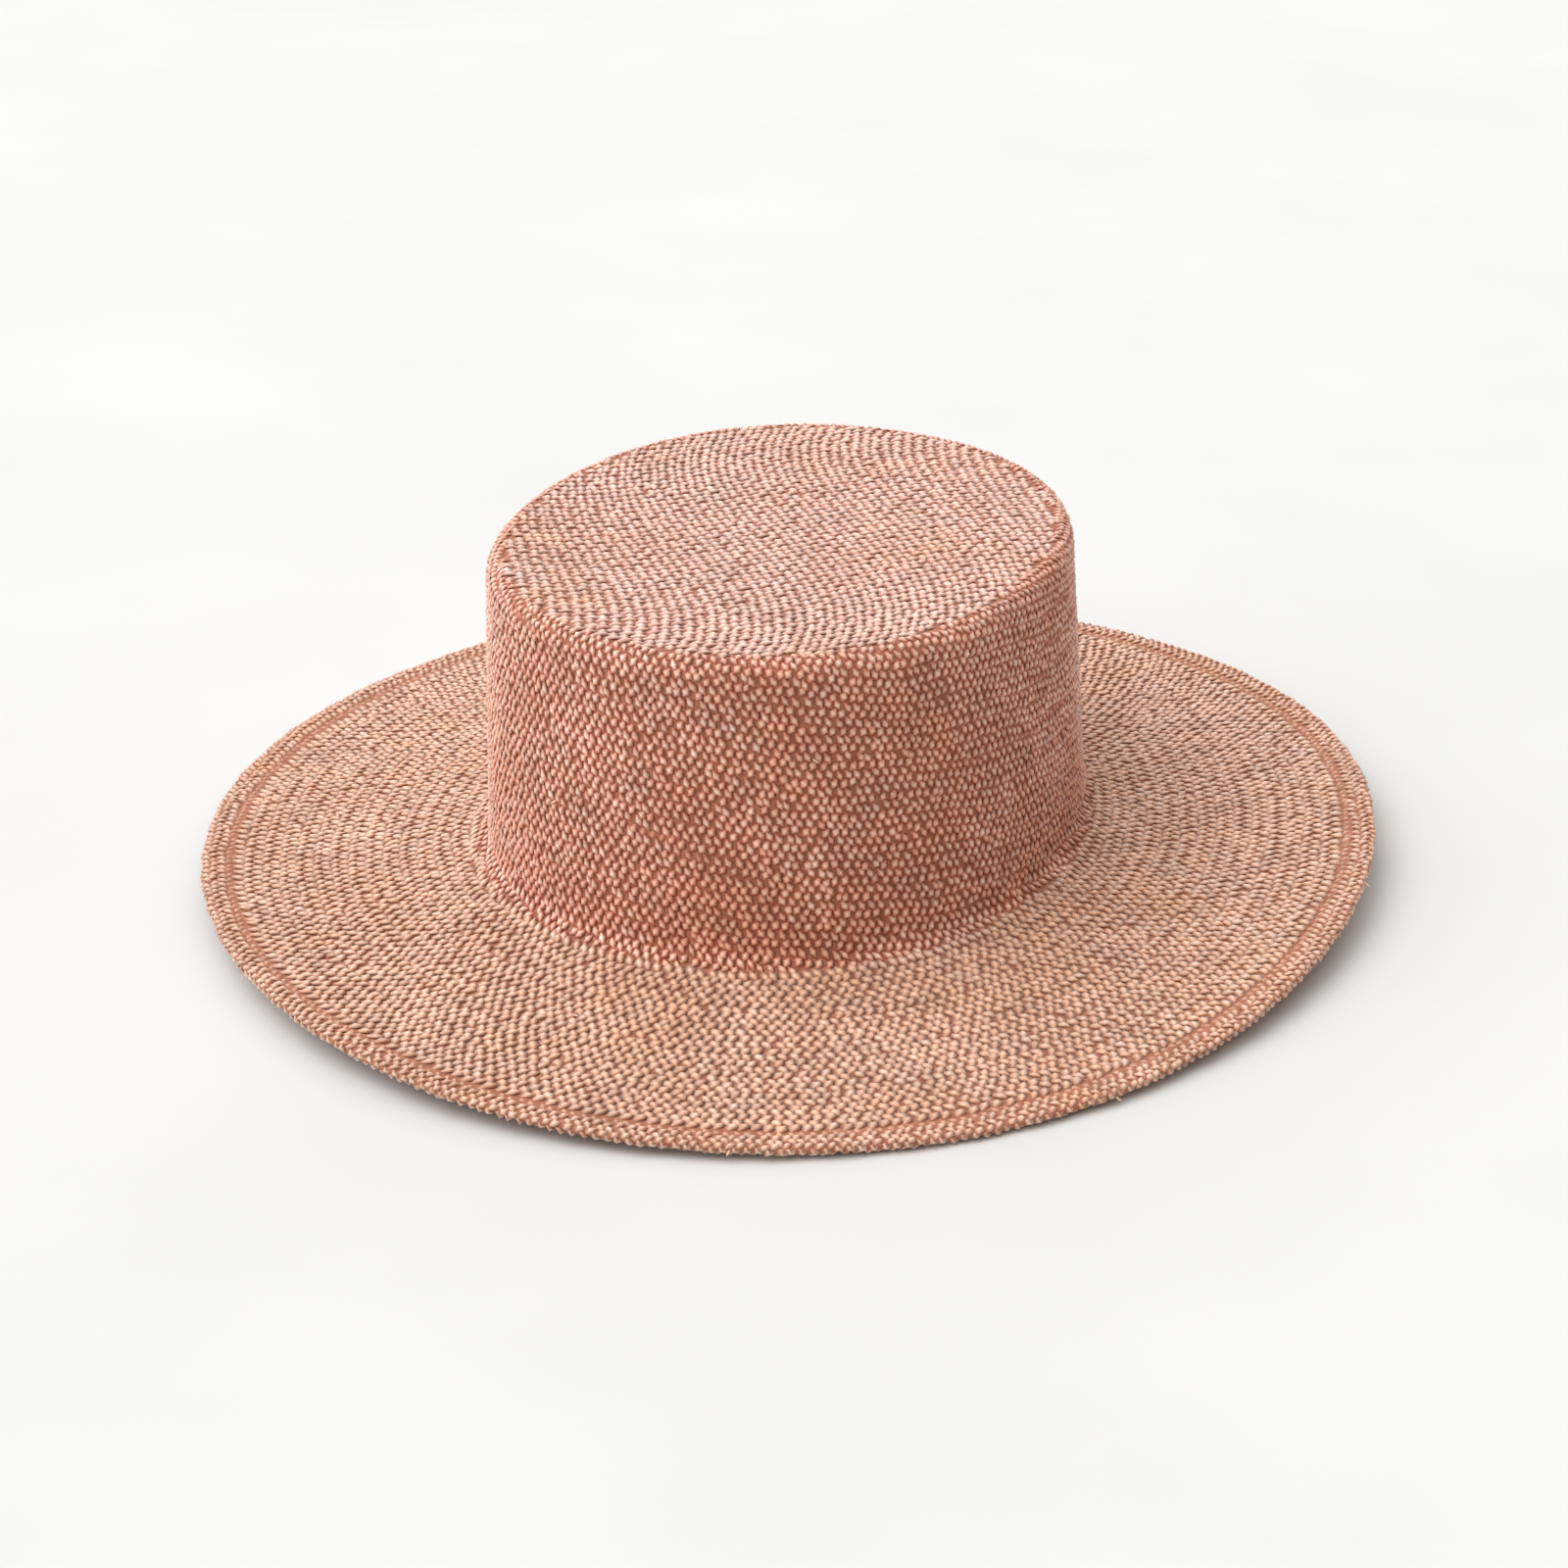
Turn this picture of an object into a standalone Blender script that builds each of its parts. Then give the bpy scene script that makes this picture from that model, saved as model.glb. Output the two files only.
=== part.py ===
"""Flat top straw hat, woven in one piece from crown to brim, with its brim edge turned under.

Metres, +Z up. The hat lies on its brim as it would on a table: the origin is on the table under the
middle of the hat, -Y is the front and +X the wearer's left when the front faces the viewer.
"""
import math

import bmesh
import bpy
import numpy as np

# Driving sizes, in metres
WALL = 0.0013  # woven straw, stiffened with size
HEAD_LENGTH = 0.2006  # oval at the crown's foot, outside, front to back
HEAD_WIDTH = 0.1687  # the same oval, side to side
CROWN_HEIGHT = 0.0859  # from the crown's foot to the flat top
CROWN_TAPER = 0.0036  # how far each side comes in on its way up
TOP_EDGE_RADIUS = 0.0050
CROWN_FULLNESS = 2.10  # power of the crown's oval: 2 is an ellipse, more is squarer
TOP_SAG = 0.0012  # the flat top hangs this much in its middle
FOOT_RADIUS = 0.0046  # hollow curve where the side turns out into the brim
BRIM_WIDTH = 0.0860
BRIM_RISE = 0.0082  # the brim climbs this much from its edge to the crown's foot
HEM_WIDTH = 0.0098  # strip of the brim's edge that is turned under and sewn
CROWN_OFFSET = (0.0, -0.0026)  # x and y of the crown's foot from the brim's middle
CROWN_LEAN = (-0.0037, 0.0026)  # x and y of the crown's top from over its foot

# Steps of the mesh
SEGMENTS = 76
TOP_STEPS = 4
ARC_STEPS = 3
SIDE_STEPS = 7
BRIM_STEPS = 7

# Where the brim's edge springs up from the table. turn_deg runs anticlockwise from +X, seen from
# above; spread_deg is half the stretch that rises; lift is a share of BRIM_WIDTH.
RIM_LIFTS = [
    {"turn_deg": 20.0, "spread_deg": 72.0, "lift": 0.115},
    {"turn_deg": 226.0, "spread_deg": 84.0, "lift": 0.082},
]

# Shallow dents in the crown's side. height and reach are shares of CROWN_HEIGHT, depth is a share
# of HEAD_WIDTH.
CROWN_DENTS = [
    {"turn_deg": -12.0, "spread_deg": 26.0, "height": 0.72, "reach": 0.45, "depth": 0.0060},
    {"turn_deg": -118.0, "spread_deg": 20.0, "height": 0.86, "reach": 0.28, "depth": 0.0060},
    {"turn_deg": 140.0, "spread_deg": 30.0, "height": 0.55, "reach": 0.50, "depth": 0.0040},
]

STRAW_COLOUR = (0.48, 0.25, 0.19, 1.0)
STRAW_ROUGHNESS = 0.55


def bump(distance, spread):
    """A smooth hill: one at distance zero, level and nought from spread outwards."""
    share = np.clip(distance / spread, -1.0, 1.0)
    return np.cos(0.5 * math.pi * share) ** 2


def turned_from(angle, turn_deg):
    """Angle in degrees from turn_deg round to each direction of the hat, from -180 to 180."""
    return (np.degrees(angle) - turn_deg + 180.0) % 360.0 - 180.0


def arc(centre, radius, start_deg, end_deg, steps):
    """Points of an arc in the profile plane, both ends included."""
    angles = np.radians(np.linspace(start_deg, end_deg, steps + 1))
    return [(centre[0] + radius * math.cos(a), centre[1] + radius * math.sin(a)) for a in angles]


def straight(start, end, steps):
    """Points of a straight run in the profile plane, without its first point."""
    shares = np.linspace(0.0, 1.0, steps + 1)[1:]
    return [(start[0] + (end[0] - start[0]) * s, start[1] + (end[1] - start[1]) * s) for s in shares]


def brim_height(out):
    """Height of the brim's upper face, out metres from the crown's foot: steepest there, level at the hem."""
    share = np.clip(out / (BRIM_WIDTH - HEM_WIDTH), 0.0, 1.0)
    return 2.0 * WALL + BRIM_RISE * (1.0 - share) ** 1.7


def crown_profile(inset):
    """Crown from the edge of its flat top down to where the foot curve meets the brim.

    The points are (distance out from the foot's oval, height). inset is 0 for the outer face and
    WALL for the inner one, which follows the outer one at that distance.
    """
    foot = brim_height(0.0)
    top = foot + CROWN_HEIGHT
    lean = math.degrees(math.atan2(CROWN_TAPER, CROWN_HEIGHT))
    edge_centre = (-CROWN_TAPER - TOP_EDGE_RADIUS, top - TOP_EDGE_RADIUS)
    foot_centre = (FOOT_RADIUS, foot + FOOT_RADIUS)
    edge = arc(edge_centre, TOP_EDGE_RADIUS - inset, 90.0, lean, ARC_STEPS)
    curve = arc(foot_centre, FOOT_RADIUS + inset, 180.0 + lean, 262.0, ARC_STEPS)
    return edge + straight(edge[-1], curve[0], SIDE_STEPS) + curve[1:]


def brim_profile(start, drop):
    """Brim from the end of the foot curve out to the hem, drop metres under its upper face."""
    outs = np.linspace(start[0], BRIM_WIDTH - HEM_WIDTH, BRIM_STEPS + 1)[1:]
    return [(out, float(brim_height(out)) - drop) for out in outs]


def hem_profile():
    """Turned edge: round the rim from the upper face to the lower one, then back in under the brim."""
    rim_centre = (BRIM_WIDTH - WALL, WALL)
    fold = arc(rim_centre, WALL, 90.0, -90.0, 2 * ARC_STEPS)
    return fold + [(BRIM_WIDTH - HEM_WIDTH, 0.0)]


def ring(out, height, share=1.0):
    """One closed ring of points round the hat, at a place of the profile.

    The oval's half axes are those of the crown's foot plus out, times share. Dents pull the crown's
    side in, the whole crown leans a little, and the rim's lifts raise the brim more further out.
    """
    angle = np.arange(SEGMENTS) * (2.0 * math.pi / SEGMENTS)
    up_side = (height - brim_height(0.0)) / CROWN_HEIGHT
    pull = np.zeros(SEGMENTS)
    for dent in CROWN_DENTS:
        round_share = bump(turned_from(angle, dent["turn_deg"]), dent["spread_deg"])
        side_share = bump(up_side - dent["height"], dent["reach"])
        pull += HEAD_WIDTH * dent["depth"] * round_share * side_share
    lift = np.zeros(SEGMENTS)
    out_along = min(max(out / BRIM_WIDTH, 0.0), 1.0)
    for row in RIM_LIFTS:
        lift += BRIM_WIDTH * row["lift"] * bump(turned_from(angle, row["turn_deg"]), row["spread_deg"])
    offset, lean = 1.0 - out_along, min(max(up_side, 0.0), 1.0)
    power = 2.0 + (CROWN_FULLNESS - 2.0) * (1.0 - out_along)
    fullness = (np.abs(np.cos(angle)) ** power + np.abs(np.sin(angle)) ** power) ** (-1.0 / power)
    x = (0.5 * HEAD_WIDTH + out - pull) * share * fullness * np.cos(angle)
    y = (0.5 * HEAD_LENGTH + out - pull) * share * fullness * np.sin(angle)
    x += CROWN_OFFSET[0] * offset + CROWN_LEAN[0] * lean
    y += CROWN_OFFSET[1] * offset + CROWN_LEAN[1] * lean
    return np.stack([x, y, height + lift * out_along**1.6], axis=1)


def flat_top_rings(edge):
    """Rings of the crown's top inside its edge, from the middle outwards, sagging in the middle."""
    shares = np.linspace(0.0, 1.0, TOP_STEPS + 1)[1:-1]
    return [ring(edge[0], edge[1] - TOP_SAG * (1.0 - s * s), s) for s in shares]


def straw_rings():
    """All rings of the closed wall, from the outer face's middle round the rim to the inner face's."""
    outer = crown_profile(0.0)
    inner = crown_profile(WALL)
    upper_brim = brim_profile(outer[-1], 0.0)
    under_brim = brim_profile(inner[-1], WALL)
    profile = outer + upper_brim + hem_profile() + under_brim[::-1] + inner[::-1]
    rings = flat_top_rings(outer[0])
    rings += [ring(out, height) for out, height in profile]
    rings += flat_top_rings(inner[0])[::-1]
    return rings


def build_straw_body():
    """The woven body: rings of points joined by quads, with a fan at each of its two middles."""
    rings = straw_rings()
    mesh = bmesh.new()
    loops = [[mesh.verts.new(point) for point in points] for points in rings]
    for first, second in zip(loops, loops[1:]):
        for j in range(SEGMENTS):
            k = (j + 1) % SEGMENTS
            mesh.faces.new((first[j], second[j], second[k], first[k]))
    for loop, points, outside in ((loops[0], rings[0], True), (loops[-1], rings[-1], False)):
        middle = points.mean(axis=0)
        middle[2] -= TOP_SAG / TOP_STEPS**2
        centre = mesh.verts.new(middle)
        for j in range(SEGMENTS):
            k = (j + 1) % SEGMENTS
            mesh.faces.new((centre, loop[j], loop[k]) if outside else (centre, loop[k], loop[j]))
    data = bpy.data.meshes.new("straw_body")
    mesh.to_mesh(data)
    mesh.free()
    data.shade_smooth()
    data.set_sharp_from_angle(angle=math.radians(50.0))
    body = bpy.data.objects.new("straw_body", data)
    bpy.context.scene.collection.objects.link(body)
    return body


def straw_material():
    """Dyed and sized palm straw, dusty copper rose, with a dull sheen."""
    material = bpy.data.materials.new("dyed_straw")
    material.use_nodes = True
    shader = material.node_tree.nodes["Principled BSDF"]
    shader.inputs["Base Color"].default_value = STRAW_COLOUR
    shader.inputs["Roughness"].default_value = STRAW_ROUGHNESS
    shader.inputs["Metallic"].default_value = 0.0
    return material


def main():
    for old in list(bpy.data.objects):
        bpy.data.objects.remove(old)
    body = build_straw_body()
    body.data.materials.append(straw_material())


main()
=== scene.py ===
import math

import bpy
import numpy as np
from mathutils import Matrix, Vector


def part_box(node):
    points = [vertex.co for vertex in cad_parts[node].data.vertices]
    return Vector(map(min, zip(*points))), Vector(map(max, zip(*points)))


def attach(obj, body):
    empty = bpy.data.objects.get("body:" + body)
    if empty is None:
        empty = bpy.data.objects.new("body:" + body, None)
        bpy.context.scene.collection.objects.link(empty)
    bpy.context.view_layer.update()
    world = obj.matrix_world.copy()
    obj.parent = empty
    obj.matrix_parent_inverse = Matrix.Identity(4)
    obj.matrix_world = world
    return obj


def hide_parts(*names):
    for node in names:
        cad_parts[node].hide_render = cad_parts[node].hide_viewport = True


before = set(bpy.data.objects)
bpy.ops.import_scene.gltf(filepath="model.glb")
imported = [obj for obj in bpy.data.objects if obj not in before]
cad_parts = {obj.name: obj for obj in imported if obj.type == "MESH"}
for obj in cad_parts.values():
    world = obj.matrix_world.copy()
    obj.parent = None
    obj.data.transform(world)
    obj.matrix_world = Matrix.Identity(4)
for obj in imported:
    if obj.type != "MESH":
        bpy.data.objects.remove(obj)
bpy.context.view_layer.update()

bl_info = {
    "name": "Flat top straw hat",
    "version": (1, 0, 0),
    "blender": (4, 5, 0),
    "location": "3D View > Sidebar > Straw Hat",
    "description": "Weaves a flat top straw hat, crossing by crossing, over its plain wall",
    "category": "Object",
}

BODY = "straw_body"
BODY_LOW, BODY_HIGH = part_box(BODY)
HAT_WIDTH = BODY_HIGH[0] - BODY_LOW[0]
HAT_LENGTH = BODY_HIGH[1] - BODY_LOW[1]
HAT_HEIGHT = BODY_HIGH[2] - BODY_LOW[2]

# Sizes of the wall, in metres. The overall ones follow the frame.
WALL = 0.0013
BRIM_WIDTH = 0.0860
BRIM_RISE = 0.0082
HEM_WIDTH = 0.0098
CROWN_TAPER = 0.0036
CROWN_OFFSET = (0.0, -0.0026)
CROWN_LEAN = (-0.0037, 0.0026)
CROWN_FULLNESS = 2.10
TOP_EDGE_RADIUS = 0.0050
TOP_SAG = 0.0012
FOOT_RADIUS = 0.0046
FOOT_HEIGHT = 2.0 * WALL + BRIM_RISE
HEAD_WIDTH = HAT_WIDTH - 2.0 * BRIM_WIDTH
HEAD_LENGTH = HAT_LENGTH - 2.0 * BRIM_WIDTH
CROWN_HEIGHT = HAT_HEIGHT - FOOT_HEIGHT
TOP_HALF_X = 0.5 * HEAD_WIDTH - CROWN_TAPER - TOP_EDGE_RADIUS
TOP_HALF_Y = 0.5 * HEAD_LENGTH - CROWN_TAPER - TOP_EDGE_RADIUS

# Stretches of the rim that spring up, and shallow dents in the crown's side. turn_deg runs
# anticlockwise from +X; lift is a share of BRIM_WIDTH, height and reach of CROWN_HEIGHT, depth of
# HEAD_WIDTH.
RIM_LIFTS = [
    {"turn_deg": 20.0, "spread_deg": 72.0, "lift": 0.115},
    {"turn_deg": 226.0, "spread_deg": 84.0, "lift": 0.082},
]
CROWN_DENTS = [
    {"turn_deg": -12.0, "spread_deg": 26.0, "height": 0.72, "reach": 0.45, "depth": 0.0060},
    {"turn_deg": -118.0, "spread_deg": 20.0, "height": 0.86, "reach": 0.28, "depth": 0.0060},
    {"turn_deg": 140.0, "spread_deg": 30.0, "height": 0.55, "reach": 0.50, "depth": 0.0040},
]

# Unevenness of the sewn rim: how many waves go round it, where they start and how far they reach.
RIM_WAVES = [(23, 0.4, 0.00010), (61, 2.1, 0.00014), (97, 1.2, 0.00012)]

TOP_MIDDLE = (CROWN_OFFSET[0] + CROWN_LEAN[0], CROWN_OFFSET[1] + CROWN_LEAN[1])
SLOPE_STEP = 0.0003  # how far apart the points are that a slope is read from
TAU = 2.0 * math.pi


# The wall's shape

def bump(distance, spread):
    """A smooth hill: one at distance zero, level and nought from spread outwards."""
    share = np.clip(distance / spread, -1.0, 1.0)
    return np.cos(0.5 * math.pi * share) ** 2


def turned_from(angle, turn_deg):
    """Angle in degrees from turn_deg round to each angle, from -180 to 180."""
    return (np.degrees(angle) - turn_deg + 180.0) % 360.0 - 180.0


def arc(centre, radius, start_deg, end_deg, steps):
    """Points of an arc in the profile plane, both ends included, as rows of (out, height)."""
    angles = np.radians(np.linspace(start_deg, end_deg, steps + 1))
    return np.stack([centre[0] + radius * np.cos(angles), centre[1] + radius * np.sin(angles)], axis=1)


def brim_height(out):
    """Height of the brim's upper face: rim level plus the rise times (1 - share of the way out)^1.7."""
    share = np.clip(out / (BRIM_WIDTH - HEM_WIDTH), 0.0, 1.0)
    return 2.0 * WALL + BRIM_RISE * (1.0 - share) ** 1.7


class Profile:
    """The wall's section, from the middle of the crown's top outwards along one face.

    run is the way along the section in metres; out, height and share say where the hat's ring is at
    each run, as ring_points reads them. inset is 0 for the outer face and WALL for the inner one.
    """

    def __init__(self, inset):
        top = FOOT_HEIGHT + CROWN_HEIGHT
        lean = math.degrees(math.atan2(CROWN_TAPER, CROWN_HEIGHT))
        edge = arc((-CROWN_TAPER - TOP_EDGE_RADIUS, top - TOP_EDGE_RADIUS), TOP_EDGE_RADIUS - inset, 90, lean, 10)
        foot = arc((FOOT_RADIUS, FOOT_HEIGHT + FOOT_RADIUS), FOOT_RADIUS + inset, 180 + lean, 262, 10)
        outs = np.linspace(foot[-1, 0], BRIM_WIDTH - HEM_WIDTH, 40)[1:]
        brim = np.stack([outs, brim_height(outs) - inset], axis=1)
        parts = [edge, foot, brim]
        if inset == 0.0:
            fold = arc((BRIM_WIDTH - WALL, WALL), WALL, 90, -90, 14)
            parts += [fold, np.array([[BRIM_WIDTH - HEM_WIDTH, 0.0]])]
        section = np.concatenate(parts)
        disc = np.linspace(0.0, 1.0, 30)[:-1]
        disc_height = edge[0, 1] - TOP_SAG * (1.0 - disc**2)
        self.edge_run = 0.5 * (TOP_HALF_X + TOP_HALF_Y)
        steps = np.hypot(*np.diff(section, axis=0).T)
        self.run = np.concatenate([disc * self.edge_run, self.edge_run + np.concatenate([[0.0], np.cumsum(steps)])])
        self.out = np.concatenate([np.full(disc.size, edge[0, 0]), section[:, 0]])
        self.height = np.concatenate([disc_height, section[:, 1]])
        self.share = np.concatenate([disc, np.ones(len(section))])
        self.foot_run = float(self.run[disc.size + len(edge) + len(foot) - 1])
        self.hem_run = float(self.run[disc.size + len(edge) + len(foot) + len(brim) - 1])
        self.end_run = float(self.run[-1])

    def points(self, run, angle):
        """Where a point at this run and angle lies, rows of x, y, z."""
        out = np.interp(run, self.run, self.out)
        height = np.interp(run, self.run, self.height)
        share = np.interp(run, self.run, self.share)
        return ring_points(out, height, share, angle)


def ring_points(out, height, share, angle):
    """Points of the hat's rings.

    The ring is an oval whose half axes are those of the crown's foot plus out, times share, with a
    power a little over 2 round the crown. Dents pull the side in, the crown leans a little on its way
    up, and lifts raise the brim with the 1.6th power of the way out.
    """
    up_side = (height - FOOT_HEIGHT) / CROWN_HEIGHT
    pull = np.zeros_like(angle)
    for dent in CROWN_DENTS:
        round_share = bump(turned_from(angle, dent["turn_deg"]), dent["spread_deg"])
        pull = pull + HEAD_WIDTH * dent["depth"] * round_share * bump(up_side - dent["height"], dent["reach"])
    lift = np.zeros_like(angle)
    out_along = np.clip(out / BRIM_WIDTH, 0.0, 1.0)
    for row in RIM_LIFTS:
        lift = lift + BRIM_WIDTH * row["lift"] * bump(turned_from(angle, row["turn_deg"]), row["spread_deg"])
    cos, sin = np.cos(angle), np.sin(angle)
    power = 2.0 + (CROWN_FULLNESS - 2.0) * (1.0 - out_along)
    fullness = (np.abs(cos) ** power + np.abs(sin) ** power) ** (-1.0 / power)
    for lobes, start_turn, size in RIM_WAVES:
        pull = pull + size * np.sin(lobes * angle + start_turn) * out_along**10
    offset, lean = 1.0 - out_along, np.clip(up_side, 0.0, 1.0)
    x = (0.5 * HEAD_WIDTH + out - pull) * share * fullness * cos
    y = (0.5 * HEAD_LENGTH + out - pull) * share * fullness * sin
    x = x + CROWN_OFFSET[0] * offset + CROWN_LEAN[0] * lean
    y = y + CROWN_OFFSET[1] * offset + CROWN_LEAN[1] * lean
    return np.stack([x, y, height + lift * out_along**1.6], axis=-1)


def wall_frame(profile, run, angle):
    """Point, outward normal and metres per radian at places on the outer side of a profile."""
    down = profile.points(run + SLOPE_STEP, angle) - profile.points(run - SLOPE_STEP, angle)
    turn = 0.004
    along = profile.points(run, angle + turn) - profile.points(run, angle - turn)
    normal = np.cross(down, along)
    normal /= np.linalg.norm(normal, axis=-1, keepdims=True)
    return profile.points(run, angle), normal, np.linalg.norm(along, axis=-1) / (2.0 * turn)


OUTER = Profile(0.0)
INNER = Profile(WALL)


# Meshes made of arrays

def new_piece(name, points, faces, material, uv_maps=(), strand=None):
    """A mesh object from arrays: points, a list of face index arrays (one for each face size), UV maps
    as (name, u and v for each corner) and the strand attribute for each point. It rides on the hat."""
    corners = np.concatenate([f.ravel() for f in faces]).astype(np.int32)
    totals = np.concatenate([np.full(len(f), f.shape[1], np.int32) for f in faces])
    starts = np.concatenate([[0], np.cumsum(totals)[:-1]]).astype(np.int32)
    mesh = bpy.data.meshes.new(name)
    mesh.vertices.add(len(points))
    mesh.vertices.foreach_set("co", np.asarray(points, np.float32).ravel())
    mesh.loops.add(len(corners))
    mesh.loops.foreach_set("vertex_index", corners)
    mesh.polygons.add(len(totals))
    mesh.polygons.foreach_set("loop_start", starts)
    mesh.update(calc_edges=True)
    mesh.shade_smooth()
    for map_name, uv in uv_maps:
        layer = mesh.uv_layers.new(name=map_name)
        layer.data.foreach_set("uv", np.asarray(uv, np.float32).ravel())
    if strand is not None:
        layer = mesh.attributes.new("strand", "FLOAT_COLOR", "POINT")
        rows = np.concatenate([strand, np.ones((len(strand), 1))], axis=1)
        layer.data.foreach_set("color", rows.astype(np.float32).ravel())
    mesh.materials.append(material)
    piece = bpy.data.objects.new(name, mesh)
    bpy.context.scene.collection.objects.link(piece)
    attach(piece, "root")
    return piece

def float_shape(stations, section):
    """The shape of one straw float, the stretch of a strand between two places where it dives under.

    stations are rows of (along, width, height): along runs from -1 to 1, width is a share of the half
    width and height a share of the crest. section is a list of (across, height) going round the strand
    from its right side over the top. The two ends are points. Returns the local coordinates, the
    triangles and quads, and the places of their corners in a flat unrolled cell.
    """
    around = len(section)
    local = [(-1.0, 0.0, -1.0)]
    for along, width, height in stations:
        local += [(along, across * width, height + low) for across, low in section]
    local.append((1.0, 0.0, -1.0))
    last = len(local) - 1
    spot = [0.5 * (1.0 + along) for along, _, _ in stations]
    triangles, quads, triangle_uv, quad_uv = [], [], [], []
    for i in range(around):
        k = (i + 1) % around
        low, high = i / around, (i + 1) / around
        triangles.append((0, 1 + k, 1 + i))
        triangle_uv.append(((0.0, 0.5 * (low + high)), (spot[0], high), (spot[0], low)))
        triangles.append((last, last - around + i, last - around + k))
        triangle_uv.append(((1.0, 0.5 * (low + high)), (spot[-1], low), (spot[-1], high)))
        for r in range(len(stations) - 1):
            a = 1 + r * around
            b = a + around
            quads.append((a + i, a + k, b + k, b + i))
            quad_uv.append(((spot[r], low), (spot[r], high), (spot[r + 1], high), (spot[r + 1], low)))
    return np.array(local), np.array(triangles), np.array(quads), np.array(triangle_uv), np.array(quad_uv)


FULL_FLOAT = float_shape(
    stations=[(-0.60, 0.75, -0.30), (0.0, 1.0, 0.80), (0.60, 0.75, -0.30)],
    section=[(1.0, -0.90), (0.0, 0.20), (-1.0, -0.90), (0.0, -1.50)],
)
PLAIN_FLOAT = float_shape(
    stations=[(-0.45, 0.92, 0.40), (0.45, 0.92, 0.40)],
    section=[(1.0, -0.80), (0.0, 0.20), (-1.0, -0.80), (0.0, -1.40)],
)


# Slow waves in the rows of crossings: how many go round the hat, their length down the section, where
# they start and how far they reach.
DRIFTS = [
    (7, 0.090, 0.3, 0.00040), (-11, 0.061, 1.9, 0.00034), (17, -0.043, 4.0, 0.00026), (-23, 0.030, 2.6, 0.00018),
]

# Faint creases across the crown's side. down is how far below the top's edge a crease runs, slope how
# much further down it gets for each radian round; the rest as for the dents.
# The straw along each crease is darkened with painted shade, as deep as the crease sinks.
CROWN_CREASES = [
    {"turn_deg": 2.0, "spread_deg": 24.0, "down": 0.0150, "slope": 0.000, "depth": 0.00035},
    {"turn_deg": 8.0, "spread_deg": 26.0, "down": 0.0235, "slope": 0.002, "depth": 0.00045},
    {"turn_deg": 0.0, "spread_deg": 20.0, "down": 0.0315, "slope": 0.003, "depth": 0.00030},
    {"turn_deg": -6.0, "spread_deg": 38.0, "down": 0.0440, "slope": 0.006, "depth": 0.00050},
    {"turn_deg": 4.0, "spread_deg": 18.0, "down": 0.0530, "slope": 0.002, "depth": 0.00030},
    {"turn_deg": -126.0, "spread_deg": 9.0, "down": 0.0040, "slope": 0.020, "depth": 0.00060},
    {"turn_deg": -86.0, "spread_deg": 16.0, "down": 0.0560, "slope": 0.030, "depth": 0.00040},
]


# Where the strands cross

def even_angles(profile, run, turn):
    """Angles that part the ring at this run into even lengths. turn is in whole turns."""
    grid = np.linspace(0.0, TAU, 721)
    ring = profile.points(np.full(grid.size, run), grid)
    way = np.concatenate([[0.0], np.cumsum(np.linalg.norm(np.diff(ring, axis=0), axis=1))])
    return np.interp(turn % 1.0, way / way[-1], grid) + TAU * np.floor(turn)


def wander(run, angle):
    """How far rows drift off their even place, down and round, in metres: a sum of slow waves."""
    away, aside = np.zeros(run.size), np.zeros(run.size)
    for lobes, length, start_turn, size in DRIFTS:
        phase = lobes * angle + TAU * run / length + start_turn
        away += size * np.sin(phase)
        aside += size * np.sin(phase + 2.0 * start_turn)
    return away, aside


def ring_crossings(profile, start, end, rows, count, drop=0, first_row=0, phase=0.0):
    """Crossings of two families of strands that wind round the hat as they go down.

    Crossing (row k, place j): turn = phase + (j + k / 2) / count and run = start + (k + j * drop /
    places + 1 / 2) * pitch, where places = count + drop / 2. The first family passes over on even rows
    and the second on odd ones. drop is the even number of rows that a row comes down in one turn.
    """
    places = count + drop // 2
    pitch = (end - start) / rows
    k, j = [grid.ravel() for grid in np.meshgrid(np.arange(-drop, rows), np.arange(places), indexing="ij")]
    run = start + (k + 0.5 + j * drop / places) * pitch
    inside = (run >= start) & (run < end)
    k, j, run = k[inside], j[inside], run[inside]
    turn = phase + (j + 0.5 * k) / count
    middle = 0.5 * (start + end)
    angle = even_angles(profile, middle, turn)
    away, aside = wander(run, angle)
    near_end = np.clip(np.minimum(run - start, end - run) / (2.0 * pitch), 0.0, 1.0)
    run, angle = run + away * near_end, angle + aside / (0.5 * HAT_WIDTH)
    part = 0.5 / count
    half_step = 0.5 * (even_angles(profile, middle, turn + part) - even_angles(profile, middle, turn - part))
    across = half_step * wall_frame(profile, run, angle)[2]
    family = (k + first_row) % 2
    down = pitch * np.where(family == 0, 1.0, 1.0 - drop / places)
    reach = np.hypot(down, across)
    strand = np.where(family == 0, j % places, (j + k) % (places - drop))
    return {
        "p": run, "q": angle, "s": down / reach, "t": np.where(family == 0, across, -across) / reach,
        "reach": reach, "gap": 2.0 * across * pitch / reach, "family": family, "strand": strand,
    }


def top_share(x, y):
    """How far out a point of the crown's top lies: 0 in the middle, 1 where the edge starts to turn."""
    power = CROWN_FULLNESS
    return (np.abs(x / TOP_HALF_X) ** power + np.abs(y / TOP_HALF_Y) ** power) ** (1.0 / power)


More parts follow.
